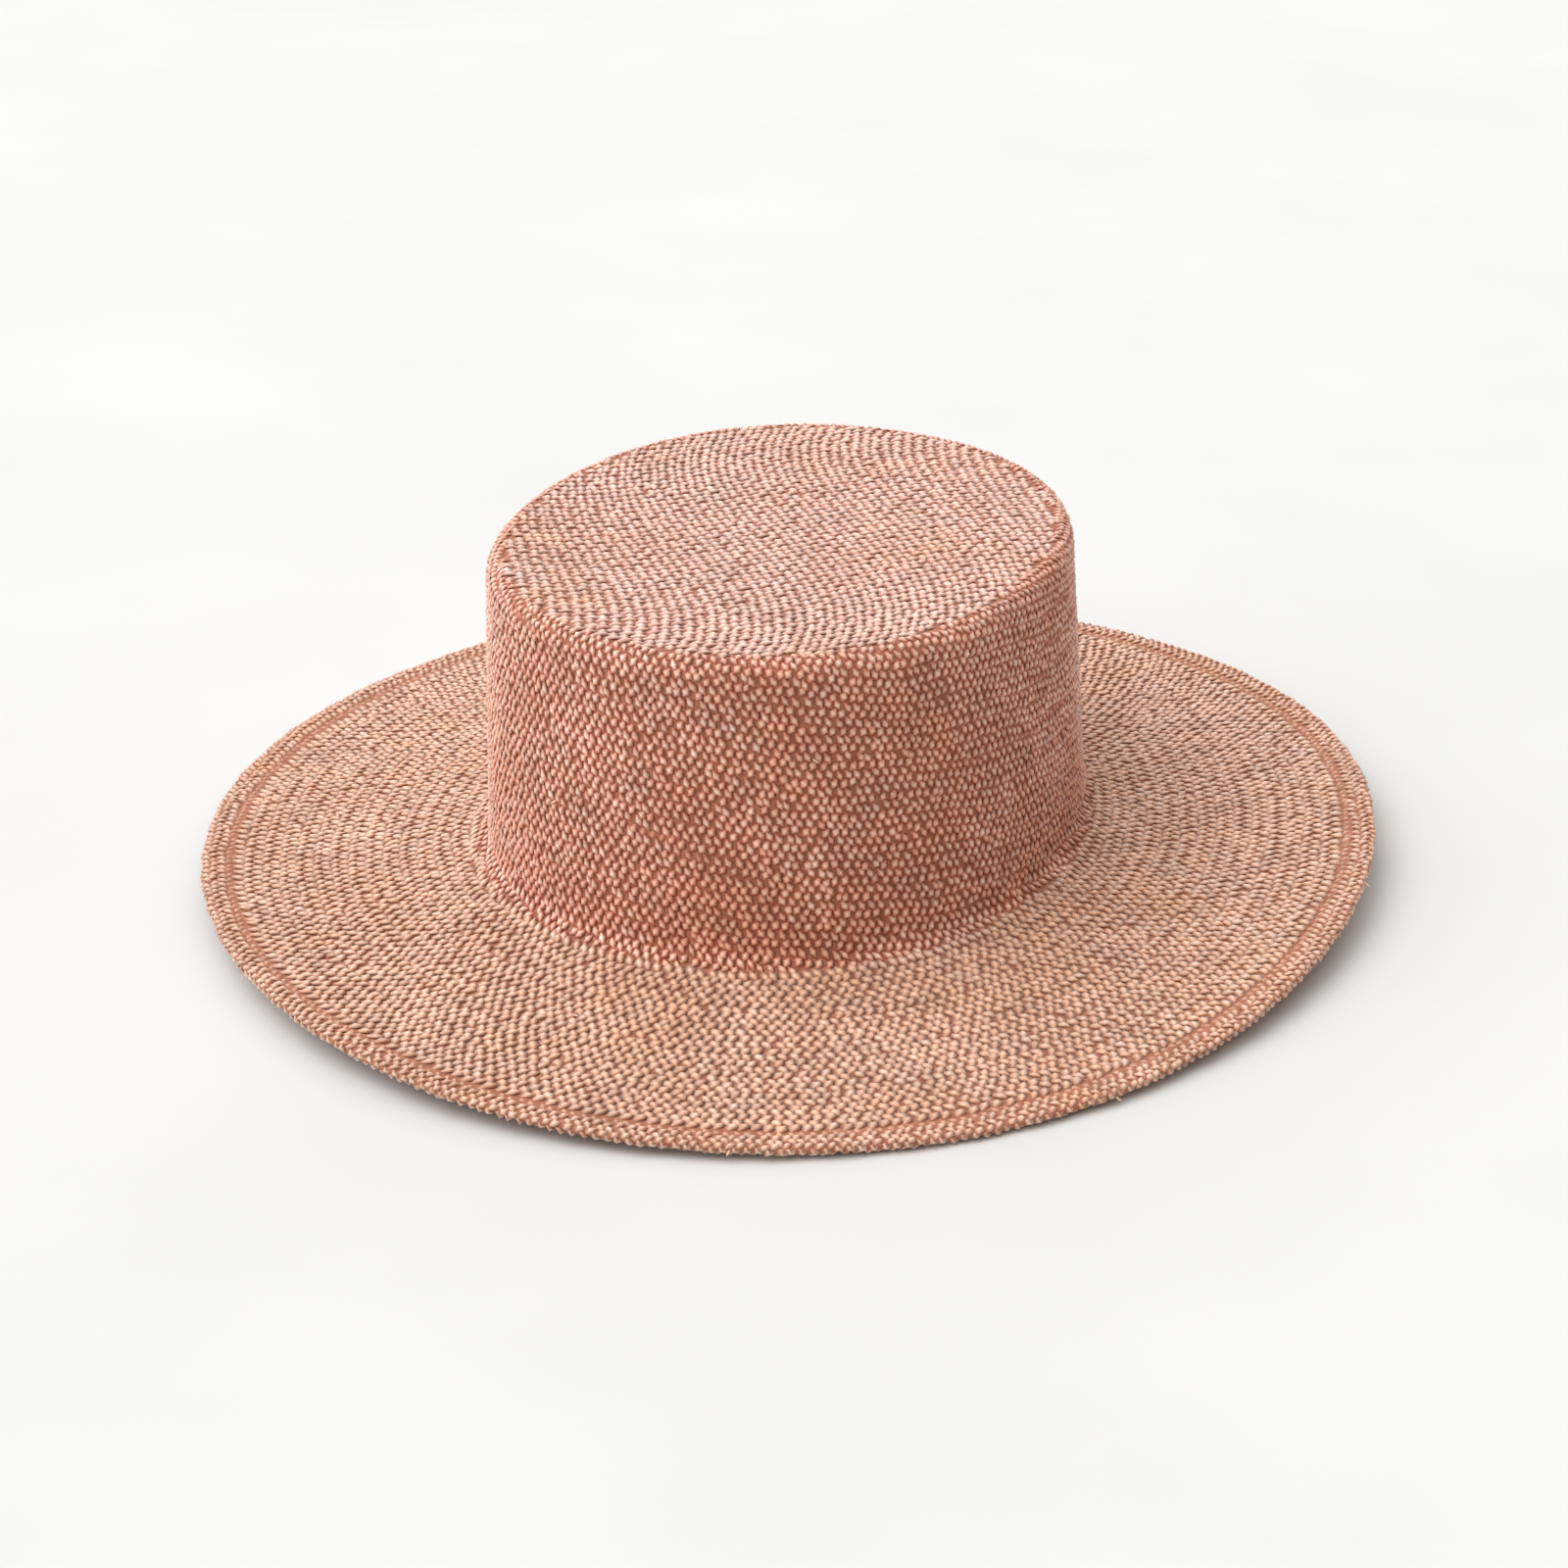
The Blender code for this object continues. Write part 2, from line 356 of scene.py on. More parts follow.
def top_crossings(pitch, lines_deg, swirl_deg, limit):
    """Crossings of the crown's top: two sets of straight lines at lines_deg, pitch apart, that curve
    round by swirl_deg times (share of the way out)^2."""
    spacing = pitch / abs(math.sin(math.radians(lines_deg[1] - lines_deg[0])))
    first, second = [(math.cos(math.radians(d)), math.sin(math.radians(d))) for d in lines_deg]
    span = np.arange(-int(1.3 * TOP_HALF_Y / pitch), int(1.3 * TOP_HALF_Y / pitch) + 1)
    i, j = [grid.ravel() for grid in np.meshgrid(span, span, indexing="ij")]

    def swirled(i, j):
        x = spacing * (i * first[0] + j * second[0])
        y = spacing * (i * first[1] + j * second[1])
        turn = math.radians(swirl_deg) * np.hypot(x / TOP_HALF_X, y / TOP_HALF_Y) ** 2
        return x * np.cos(turn) - y * np.sin(turn), x * np.sin(turn) + y * np.cos(turn)

    x, y = swirled(i, j)
    inside = top_share(x, y) < limit
    i, j, x, y = i[inside], j[inside], x[inside], y[inside]
    family = (i + j) % 2
    ahead_x, ahead_y = swirled(i + 0.5 * (family == 0), j + 0.5 * (family == 1))
    reach = 2.0 * np.hypot(ahead_x - x, ahead_y - y)
    return {
        "p": x, "q": y, "s": 2.0 * (ahead_x - x) / reach, "t": 2.0 * (ahead_y - y) / reach,
        "reach": reach, "gap": np.full(x.size, pitch), "family": family,
        "strand": np.where(family == 0, j, i) - span[0],
    }


def ring_sheet(profile, side):
    """Points off the wall's face: s down the section, t round the hat, height away from the wall."""
    def place(run, angle, s, t, height):
        metres = wall_frame(profile, run, angle)[2]
        at_run = np.clip(run[:, None] + s, 0.0, profile.end_run)
        points, normals, _ = wall_frame(profile, at_run, angle[:, None] + t / metres[:, None])
        return points + side * normals * height[..., None]
    return place


def top_sheet(level, side):
    """Points off the crown's top: s along X, t along Y, height away from the wall."""
    def place(x, y, s, t, height):
        at_x, at_y = x[:, None] + s, y[:, None] + t
        z = level - TOP_SAG * (1.0 - np.minimum(top_share(at_x, at_y), 1.0) ** 2) + side * height
        return np.stack([at_x + TOP_MIDDLE[0], at_y + TOP_MIDDLE[1], z], axis=-1)
    return place


# The weave

def weave(name, sheet, side, crossings, shape, tool, material, groove=None, relief=1.0, fullness=1.0):
    """One mesh of many floats, one for each crossing, laid on a sheet of the wall."""
    rng = np.random.default_rng(tool.seed + sum(map(ord, name)))
    local, triangles, quads, triangle_uv, quad_uv = shape
    p, q, reach, gap = [crossings[key] for key in ("p", "q", "reach", "gap")]
    count = p.size
    slip = tool.unevenness * reach * rng.standard_normal((2, count))
    lean = 0.9 * tool.unevenness * rng.standard_normal(count)
    s_part = crossings["s"] * np.cos(lean) - crossings["t"] * np.sin(lean)
    t_part = crossings["s"] * np.sin(lean) + crossings["t"] * np.cos(lean)
    half_length = tool.float_reach * reach * (1.0 + 0.05 * rng.standard_normal(count))
    half_width = 0.5 * tool.strand_fill * fullness * gap * (1.0 + 0.07 * rng.standard_normal(count))
    crest = tool.crest * relief * (1.0 + 0.14 * rng.standard_normal(count))
    sink = np.zeros(count) if groove is None else groove(p, q)
    u = local[None, :, 0] * half_length[:, None]
    v = side * local[None, :, 1] * half_width[:, None]
    s = u * s_part[:, None] - v * t_part[:, None] + slip[0][:, None]
    t = u * t_part[:, None] + v * s_part[:, None] + slip[1][:, None]
    height = local[None, :, 2] * crest[:, None] - sink[:, None]
    points = sheet(p, q, s, t, height)

    first = (np.arange(count) * len(local))[:, None, None]
    faces = [(triangles[None] + first).reshape(-1, 3), (quads[None] + first).reshape(-1, 4)]
    columns = math.ceil(math.sqrt(count))
    cell = np.stack([np.arange(count) % columns, np.arange(count) // columns], axis=-1)[:, None, None, :]
    fill = 0.86  # share of its cell that a float's unrolled skin takes
    bake, grain = [], []
    for uv, corners in ((triangle_uv, triangles), (quad_uv, quads)):
        bake.append(((cell + 0.5 + fill * (uv[None] - 0.5)) / columns).reshape(-1, 2))
        along = rng.random(count)[:, None, None] + half_length[:, None, None] * local[corners][None, :, :, 0]
        across = 0.0055 * uv[None, :, :, 1] + (np.arange(count) * 0.0137)[:, None, None]
        grain.append(np.stack(np.broadcast_arrays(along, across), axis=-1).reshape(-1, 2))

    strands = rng.standard_normal((2, 2, int(crossings["strand"].max()) + 1))
    strands = strands[:, crossings["family"], crossings["strand"]]
    own = rng.standard_normal((2, count))
    shade = np.clip(0.5 + tool.strand_contrast * (0.13 * strands[0] + 0.12 * own[0]), 0.0, 1.0)
    tint = np.clip(0.5 + tool.strand_contrast * (0.18 * strands[1] + 0.12 * own[1]), 0.0, 1.0)
    # The third tone is painted shade: 0 at a float's crest, rising towards its ends and flanks, and more where a
    # groove or crease presses it in.
    depth = np.clip((local[None, :, 2].max() - local[None, :, 2]) / 2.0 + sink[:, None] / 0.0011, 0.0, 1.0)
    tones = np.stack(np.broadcast_arrays(shade[:, None], tint[:, None], depth), axis=-1).reshape(-1, 3)
    maps = [("OFBake", np.concatenate(bake)), ("Grain", np.concatenate(grain))]
    return new_piece(name, points.reshape(-1, 3), faces, material, maps, tones)


def creased(run, angle):
    """How deep the crown's side is pinched in along its faint creases; the weave also darkens the creases by it with
    painted shade.
    """
    sink = np.zeros(run.size)
    for crease in CROWN_CREASES:
        off = run - OUTER.edge_run - crease["down"] - crease["slope"] * np.radians(turned_from(angle, crease["turn_deg"]))
        round_share = bump(turned_from(angle, crease["turn_deg"]), crease["spread_deg"])
        sink = sink + crease["depth"] * round_share * bump(off, 0.0016)
    return sink


def joined(parts):
    """Several sets of crossings as one."""
    return {key: np.concatenate([part[key] for part in parts]) for key in parts[0]}


def brim_rows(profile, start, end, bands, tool, first_row=0):
    """Bands of crossings from the crown's foot outwards, each with more strands than the one before."""
    edges = np.linspace(start, end, bands + 1)
    parts, row = [], first_row
    for band in range(bands):
        low, high = edges[band], edges[band + 1]
        rows = round((high - low) / tool.brim_pitch)
        middle = 0.5 * (low + high)
        angles = np.linspace(0.0, TAU, 200)
        ring = profile.points(np.full(angles.size, middle), angles)
        length = np.linalg.norm(np.diff(ring, axis=0), axis=1).sum()
        count = round(length / tool.float_spacing)
        parts.append(ring_crossings(profile, low, high, rows, count, first_row=row, phase=0.37 * band))
        row += rows
    return joined(parts), row


# Materials

def linear(colour):
    """Linear red, green, blue and alpha of an sRGB hex colour."""
    parts = [int(colour[i:i + 2], 16) / 255.0 for i in (1, 3, 5)]
    return tuple(c / 12.92 if c <= 0.04045 else ((c + 0.055) / 1.055) ** 2.4 for c in parts) + (1.0,)


def add_node(tree, kind, values=None, links=None, **settings):
    """A node with its settings, its input values and its links, given as input: output socket."""
    node = tree.nodes.new(kind)
    for key, value in settings.items():
        setattr(node, key, value)
    for key, value in (values or {}).items():
        node.inputs[key].default_value = value
    for key, socket in (links or {}).items():
        tree.links.new(socket, node.inputs[key])
    return node


def set_ramp(node, stops):
    """Gives a colour ramp its stops, rows of (place, colour)."""
    elements = node.color_ramp.elements
    while len(elements) < len(stops):
        elements.new(0.5)
    for element, (place, colour) in zip(elements, stops):
        element.position = place
        element.color = colour


def dyed_and_shaded_straw(name, tone):
    """Split palm leaf, dyed, sized and pressed: a satin skin with fine lines along each strand, and
    dye that took unevenly, so strands differ and patches lean to tan. Painted shade darkens each
    float towards its ends and flanks, where it dives under, and in pressed grooves."""
    if name in bpy.data.materials:
        return bpy.data.materials[name]
    material = bpy.data.materials.new(name)
    material.use_nodes = True
    tree = material.node_tree
    shader = tree.nodes["Principled BSDF"]
    strand = add_node(tree, "ShaderNodeAttribute", attribute_name="strand")
    parts = add_node(tree, "ShaderNodeSeparateColor", links={"Color": strand.outputs["Color"]})
    where = add_node(tree, "ShaderNodeTexCoord")
    grain_map = add_node(tree, "ShaderNodeUVMap", uv_map="Grain")

    # Fibres 0.2 mm apart and some millimetres long; the real ones are half as far apart.
    stretch = add_node(
        tree, "ShaderNodeMapping", {"Scale": (260.0, 5000.0, 1.0)}, {"Vector": grain_map.outputs["UV"]},
    )
    fibre = add_node(
        tree, "ShaderNodeTexNoise", {"Scale": 1.0, "Detail": 2.0, "Roughness": 0.6},
        {"Vector": stretch.outputs["Vector"]}, noise_dimensions="2D",
    )
    # Dye patches about 35 mm across, and smaller blotches of 9 mm.
    patch = add_node(
        tree, "ShaderNodeTexNoise", {"Scale": 28.0, "Detail": 3.0, "Roughness": 0.6},
        {"Vector": where.outputs["Object"]},
    )
    blotch = add_node(
        tree, "ShaderNodeTexNoise", {"Scale": 110.0, "Detail": 2.0, "Roughness": 0.6},
        {"Vector": where.outputs["Object"]},
    )
    base = add_node(tree, "ShaderNodeValToRGB", links={"Fac": parts.outputs["Red"]})
    set_ramp(base, [(0.0, linear(tone["dark"])), (0.5, linear(tone["middle"])), (1.0, linear(tone["pale"]))])
    warm = add_node(
        tree, "ShaderNodeMapRange", {"From Min": 0.35, "From Max": 0.95, "To Max": tone["warmth"]},
        {"Value": parts.outputs["Green"]},
    )
    warmed = add_node(
        tree, "ShaderNodeMix", {"B": linear(tone["warm"])},
        {"Factor": warm.outputs["Result"], "A": base.outputs["Color"]}, data_type="RGBA",
    )
    tan_share = add_node(
        tree, "ShaderNodeMapRange", {"From Min": 0.47, "From Max": 0.68, "To Max": 0.60},
        {"Value": patch.outputs["Fac"]},
    )
    patched = add_node(
        tree, "ShaderNodeMix", {"B": linear(tone["patch"])},
        {"Factor": tan_share.outputs["Result"], "A": warmed.outputs["Result"]}, data_type="RGBA",
    )
    spot_share = add_node(
        tree, "ShaderNodeMapRange", {"From Min": 0.30, "From Max": 0.70, "To Min": 0.90, "To Max": 1.25},
        {"Value": blotch.outputs["Fac"]},
    )
    fibre_share = add_node(
        tree, "ShaderNodeMapRange", {"From Min": 0.25, "From Max": 0.75, "To Min": 0.84, "To Max": 1.08},
        {"Value": fibre.outputs["Fac"]},
    )
    # Painted shade: the blue of the strand attribute is each point's depth in the weave. The straw is multiplied
    # towards the hollow-shade tone by it, so ends, flanks and grooves are dark and crests keep their tone.
    hollow_shade_share = add_node(
        tree, "ShaderNodeMapRange", {"From Min": 0.06, "From Max": 0.62},
        {"Value": parts.outputs["Blue"]},
    )
    painted_hollow_shade = add_node(
        tree, "ShaderNodeMix", {"B": linear(tone["painted_hollow_shade"])},
        {"Factor": hollow_shade_share.outputs["Result"], "A": patched.outputs["Result"]},
        data_type="RGBA", blend_type="MULTIPLY",
    )
    unevenly_lit = add_node(
        tree, "ShaderNodeMath", links={0: spot_share.outputs["Result"], 1: fibre_share.outputs["Result"]},
        operation="MULTIPLY",
    )
    shaded = add_node(
        tree, "ShaderNodeVectorMath",
        links={0: painted_hollow_shade.outputs["Result"], "Scale": unevenly_lit.outputs["Value"]}, operation="SCALE",
    )
    rough = add_node(
        tree, "ShaderNodeMapRange", {"From Min": 0.25, "From Max": 0.75, "To Min": 0.40, "To Max": 0.56},
        {"Value": fibre.outputs["Fac"]},
    )
    relief = add_node(
        tree, "ShaderNodeBump", {"Strength": 0.25, "Distance": 0.0001}, {"Height": fibre.outputs["Fac"]},
    )
    tree.links.new(shaded.outputs["Vector"], shader.inputs["Base Color"])
    tree.links.new(rough.outputs["Result"], shader.inputs["Roughness"])
    tree.links.new(relief.outputs["Normal"], shader.inputs["Normal"])
    shader.inputs["Sheen Weight"].default_value = tone["bloom"]
    shader.inputs["Sheen Roughness"].default_value = 0.45
    shader.inputs["Coat Weight"].default_value = 0.5
    shader.inputs["Coat Roughness"].default_value = 0.32
    return material


def plain_material(name, low, high, scale, rough, distance):
    """A rough surface whose colour wanders between two near tones, with fine relief to match."""
    if name in bpy.data.materials:
        return bpy.data.materials[name]
    material = bpy.data.materials.new(name)
    material.use_nodes = True
    tree = material.node_tree
    shader = tree.nodes["Principled BSDF"]
    where = add_node(tree, "ShaderNodeTexCoord")
    noise = add_node(
        tree, "ShaderNodeTexNoise", {"Scale": scale, "Detail": 3.0}, {"Vector": where.outputs["Object"]},
    )
    tone = add_node(tree, "ShaderNodeValToRGB", links={"Fac": noise.outputs["Fac"]})
    set_ramp(tone, [(0.35, linear(low)), (0.65, linear(high))])
    relief = add_node(
        tree, "ShaderNodeBump", {"Strength": 0.3, "Distance": distance}, {"Height": noise.outputs["Fac"]},
    )
    tree.links.new(tone.outputs["Color"], shader.inputs["Base Color"])
    tree.links.new(relief.outputs["Normal"], shader.inputs["Normal"])
    shader.inputs["Roughness"].default_value = rough
    return material


# The top's and the side's tones are lit and shaded copies of one straw. The top is painted paler with a painted sheen,
# and the side has dark painted shade in its hollows.
LIT_TOP_TONE = {
    "dark": "#DDAA9C", "middle": "#EAC8BC", "pale": "#F4DCD1", "warm": "#EABFA2", "warmth": 0.45,
    "patch": "#DFB291", "painted_hollow_shade": "#DCC2B4", "bloom": 0.25,
}
SHADED_SIDE_TONE = {
    "dark": "#DCA48E", "middle": "#F3CBB8", "pale": "#FFEBDC", "warm": "#F0BE9E", "warmth": 0.50,
    "patch": "#E4AE8A", "painted_hollow_shade": "#C69584", "bloom": 0.05,
}
# The brim's hollow tone is lighter than the side's: less painted shade, as on a lit flat.
BRIM_TONE = {
    "dark": "#D9AB94", "middle": "#EAC5AF", "pale": "#F3D7C6", "warm": "#E8B994", "warmth": 0.50,
    "patch": "#DEAF88", "painted_hollow_shade": "#D4B9A8", "bloom": 0.25,
}


def lit_top_straw():
    """Dyed palm straw of the crown's top, pressed flat: the lit copy of the straw, pale and pink with painted sheen.
    """
    return dyed_and_shaded_straw("dyed palm straw, crown top, with painted sheen", LIT_TOP_TONE)


def shaded_side_straw():
    """Dyed palm straw of the crown's side: the shaded copy of the straw, with deep brown painted shade between the
    crests.
    """
    return dyed_and_shaded_straw("dyed palm straw, crown side, with painted shade", SHADED_SIDE_TONE)


def brim_straw():
    """Dyed palm straw of the brim, a little more of a peach, with lighter painted shade between the floats."""
    return dyed_and_shaded_straw("dyed sized palm straw, brim", BRIM_TONE)


def shaded_straw():
    """Painted shade for the undersides of the strands deep in the weave: matt and brown, as where no light reaches."""
    return plain_material("painted shade under the weave", "#94583F", "#B0745A", 300.0, 0.8, 0.0001)


def studio_floor():
    """Matt white paper, rolled out flat."""
    return plain_material("matt white paper", "#D1D2D2", "#D5D6D6", 6.0, 0.85, 0.0002)


# The pieces

CORE_DEPTH = 0.00042  # how far the dark core lies under either face of the wall


def build_core(tool):
    """The hat's wall as one closed skin under the weave: the outer section outwards, the inner back in."""
    around = 160
    angle = np.linspace(0.0, TAU, around, endpoint=False)
    rings = []
    for profile, side, order in ((OUTER, 1, 1), (INNER, -1, -1)):
        runs = np.unique(np.concatenate([np.linspace(0.004, profile.end_run, 60), profile.run[30:]]))
        grid_run, grid_angle = np.meshgrid(runs[::order], angle, indexing="ij")
        points, normals, _ = wall_frame(profile, grid_run, grid_angle)
        rings.append(points - side * CORE_DEPTH * normals)
    rings = np.concatenate(rings)
    count = len(rings)
    poles = np.array([rings[0].mean(axis=0), rings[-1].mean(axis=0)])
    points = np.concatenate([rings.reshape(-1, 3), poles])
    ring, place = [g.ravel() for g in np.meshgrid(np.arange(count - 1), np.arange(around), indexing="ij")]
    after = (place + 1) % around
    quads = np.stack([
        ring * around + place, (ring + 1) * around + place, (ring + 1) * around + after, ring * around + after,
    ], axis=-1)
    place = np.arange(around)
    after = (place + 1) % around
    low = (count - 1) * around
    start_cap = np.stack([np.full(around, count * around), place, after], axis=-1)
    end_cap = np.stack([np.full(around, count * around + 1), low + after, low + place], axis=-1)
    # The core is coloured with painted shade, so the gaps between floats look dark.
    piece = new_piece("straw_core_in_painted_shade", points, [quads, np.concatenate([start_cap, end_cap])], shaded_straw())
    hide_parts(BODY)


# Cut ends: run, turn in degrees, length, slant from level in degrees, lean out of the wall.
STRAW_ENDS = [
    (OUTER.edge_run + 0.0120, 196.0, 0.0032, 150.0, 0.55),
    (OUTER.edge_run + 0.0300, -60.0, 0.0026, 35.0, 0.30),
    (OUTER.edge_run + 0.0520, -112.0, 0.0028, 140.0, 0.25),
    (OUTER.hem_run + 0.0110, -127.0, 0.0034, 60.0, 0.70),
    (OUTER.hem_run + 0.0100, -72.0, 0.0022, 120.0, 0.60),
    (OUTER.hem_run + 0.0105, -38.0, 0.0025, 50.0, 0.65),
    (OUTER.hem_run + 0.0100, 4.0, 0.0028, 110.0, 0.60),
    (OUTER.hem_run + 0.0105, 48.0, 0.0024, 70.0, 0.60),
    (OUTER.hem_run + 0.0100, 102.0, 0.0028, 100.0, 0.60),
    (OUTER.hem_run + 0.0110, 163.0, 0.0030, 65.0, 0.65),
    (OUTER.foot_run + 0.0300, -95.0, 0.0024, 20.0, 0.25),
    (OUTER.foot_run + 0.0450, 200.0, 0.0026, 160.0, 0.25),
]

TOP_LINES_DEG = (133.0, 50.0)
TOP_SWIRL_DEG = -12.0
CROWN_DROP = 36


def side_crossings(profile, tool):
    """Crossings of the crown's side, from the top's edge to the start of the brim."""
    rows = round((profile.foot_run - profile.edge_run) / tool.crown_pitch)
    return ring_crossings(profile, profile.edge_run, profile.foot_run, rows, tool.crown_strands, CROWN_DROP)


def build_crown(tool):
    """The crown's outer weave: a square grid on the top, slanting strands down the side."""
    top = top_crossings(tool.top_pitch, TOP_LINES_DEG, TOP_SWIRL_DEG, 0.995)
    weave("crown_top_weave", top_sheet(OUTER_TOP, 1), 1, top, FULL_FLOAT, tool, lit_top_straw(), relief=0.8, fullness=1.14)
    side = side_crossings(OUTER, tool)
    weave("crown_side_weave", ring_sheet(OUTER, 1), 1, side, FULL_FLOAT, tool, shaded_side_straw(), creased)


def build_brim(tool):
    """The brim's upper weave, in two rings, out to the hem."""
    middle = 0.5 * (OUTER.foot_run + OUTER.hem_run)
    near, row = brim_rows(OUTER, OUTER.foot_run, middle, 2, tool)
    far, _ = brim_rows(OUTER, middle, OUTER.hem_run, 2, tool, row)
    sheet = ring_sheet(OUTER, 1)
    weave("brim_weave_inner", sheet, 1, near, FULL_FLOAT, tool, brim_straw(), relief=0.75, fullness=1.18)
    weave("brim_weave_outer", sheet, 1, far, FULL_FLOAT, tool, brim_straw(), relief=0.75, fullness=1.18)


def build_inside(tool):
    """The same weave seen from inside the crown and under the brim."""
    top = top_crossings(tool.top_pitch, TOP_LINES_DEG, TOP_SWIRL_DEG, 0.97)
    weave("crown_inside_top", top_sheet(INNER_TOP, -1), -1, top, PLAIN_FLOAT, tool, shaded_side_straw())
    side = side_crossings(INNER, tool)
    weave("crown_inside_side", ring_sheet(INNER, -1), -1, side, PLAIN_FLOAT, tool, shaded_side_straw())
    under, _ = brim_rows(INNER, INNER.foot_run, INNER.end_run, 4, tool)
    weave("brim_under_weave", ring_sheet(INNER, -1), -1, under, PLAIN_FLOAT, tool, brim_straw())


def build_hem(tool):
    """The rim: the weave folded under, and the line where the fold's edge is drawn in, a groove darkened with painted
    shade.
    """
    start = OUTER.hem_run + 0.0006
    rows = round((OUTER.end_run - start) / 0.0023)
    hem = ring_crossings(OUTER, start, OUTER.end_run, rows, 376, phase=0.11)

    # The groove sinks the first row and, through the floats' depth, darkens it with painted shade.
    def groove(run, angle):
        return 0.00045 * bump(run - start - 0.0011, 0.0016)

    weave("hem_weave", ring_sheet(OUTER, 1), 1, hem, FULL_FLOAT, tool, brim_straw(), groove)


def build_ends(tool):
    """Cut ends of single straws that stand off the wall, thin lenses that lean out along it.

    Point = base + along * (u * length) + across * (v * width) + off * (h * width), where along leans
    out from the wall and off is square to it and to the strand.
    """
    rng = np.random.default_rng(tool.seed + 11)
    rows = np.array(STRAW_ENDS)
    angle = np.radians(rows[:, 1])
    base, normal, _ = wall_frame(OUTER, rows[:, 0], angle)
    round_way = OUTER.points(rows[:, 0], angle + 0.01) - base
    round_way /= np.linalg.norm(round_way, axis=1, keepdims=True)
    down_way = np.cross(round_way, normal)
    slant = np.radians(rows[:, 3])[:, None]
    along = np.cos(slant) * round_way + np.sin(slant) * down_way + rows[:, 4][:, None] * normal
    along /= np.linalg.norm(along, axis=1, keepdims=True)
    across = np.cross(normal, along)
    across /= np.linalg.norm(across, axis=1, keepdims=True)
    off = np.cross(along, across)
    local, triangles, quads, _, _ = PLAIN_FLOAT
    length, width = rows[:, 2][:, None, None], 0.00038
    points = (
        base[:, None] + along[:, None] * length * (0.5 + 0.5 * local[None, :, 0:1])
        + width * (across[:, None] * local[None, :, 1:2] + off[:, None] * 0.4 * local[None, :, 2:3])
    )
    first = (np.arange(len(rows)) * len(local))[:, None, None]
    faces = [(triangles[None] + first).reshape(-1, 3), (quads[None] + first).reshape(-1, 4)]
    # Tones of the ends: a random shade, an even tint, and a depth of 0.15 that gives them a little painted shade.
    tones = np.broadcast_to(np.array([0.4, 0.5, 0.15]), (points.shape[0] * points.shape[1], 3)).copy()
    tones[:, 0] = np.repeat(0.35 + 0.3 * rng.random(len(rows)), len(local))
    new_piece("straw_ends", points.reshape(-1, 3), faces, brim_straw(), (), tones)


def add_stage():
    """A white paper floor, a broad soft light from the back left, a white room and the camera."""
    scene = bpy.context.scene
    bpy.ops.mesh.primitive_plane_add(size=12.0, location=(0.0, 0.0, -0.0006))
    floor = bpy.context.object
    floor.name = "studio_floor"
    floor.data.materials.append(studio_floor())
    for name, place, spread_deg, strength in LIGHTS:
        lamp = bpy.data.lights.new(name, "SUN")
        lamp.angle = math.radians(spread_deg)
        lamp.energy = strength
        light = bpy.data.objects.new(name, lamp)
        light.matrix_world = aimed(Vector(place), Vector((0.0, 0.0, 0.0)), 0.0)
        scene.collection.objects.link(light)
    world = bpy.data.worlds.new("white_room")
    world.use_nodes = True
    room = world.node_tree
    towards = add_node(room, "ShaderNodeTexCoord")
    bright = add_node(
        room, "ShaderNodeVectorMath", {1: BRIGHT_WALL}, {0: towards.outputs["Generated"]},
        operation="DOT_PRODUCT",
    )
    strength = add_node(
        room, "ShaderNodeMapRange", {"From Min": -0.6, "From Max": 1.0, "To Min": 0.27, "To Max": 1.56},
        {"Value": bright.outputs["Value"]}, interpolation_type="SMOOTHSTEP",
    )
    white_share = add_node(
        room, "ShaderNodeMapRange", {"From Min": -0.6, "From Max": 0.5}, {"Value": bright.outputs["Value"]},
    )
    # The side of the room away from the wall is dim and a little warm.
    air = add_node(
        room, "ShaderNodeMix", {"A": (1.0, 0.83, 0.70, 1.0), "B": (1.0, 1.0, 1.0, 1.0)},
        {"Factor": white_share.outputs["Result"]}, data_type="RGBA",
    )
    room.links.new(air.outputs["Result"], room.nodes["Background"].inputs["Color"])
    room.links.new(strength.outputs["Result"], room.nodes["Background"].inputs["Strength"])
    scene.world = world
    scene.view_settings.view_transform = "Standard"
    lens = bpy.data.cameras.new("photo_camera")
    lens.sensor_width = 36.0
    lens.lens = CAMERA["lens_mm"]
    lens.shift_x = CAMERA["shift_x"]
    camera = bpy.data.objects.new("photo_camera", lens)
    camera.matrix_world = aimed(Vector(CAMERA["place"]), Vector(CAMERA["aim"]), CAMERA["roll_deg"])
    scene.collection.objects.link(camera)
    scene.camera = camera


def aimed(place, aim, roll_deg):
    """A matrix at place whose -Z looks at aim, rolled about its own +Z."""
    turn = (place - aim).to_track_quat("Z", "Y").to_matrix().to_4x4()
    return Matrix.Translation(place) @ turn @ Matrix.Rotation(math.radians(roll_deg), 4, "Z")


OUTER_TOP = FOOT_HEIGHT + CROWN_HEIGHT
INNER_TOP = OUTER_TOP - WALL
CAMERA = {
    "place": (0.3388, -0.8657, 0.4604), "aim": (0.0, 0.0, 0.0168), "lens_mm": 79.6, "shift_x": -0.0064,
    "roll_deg": 0.27,
}
BRIGHT_WALL = (-0.77, 0.04, 0.64)  # the room is brightest this way, behind the hat
LIGHTS = [
    ("soft_key", (-0.476, -0.293, 0.82), 55.0, 1.2),
]


# The add-on

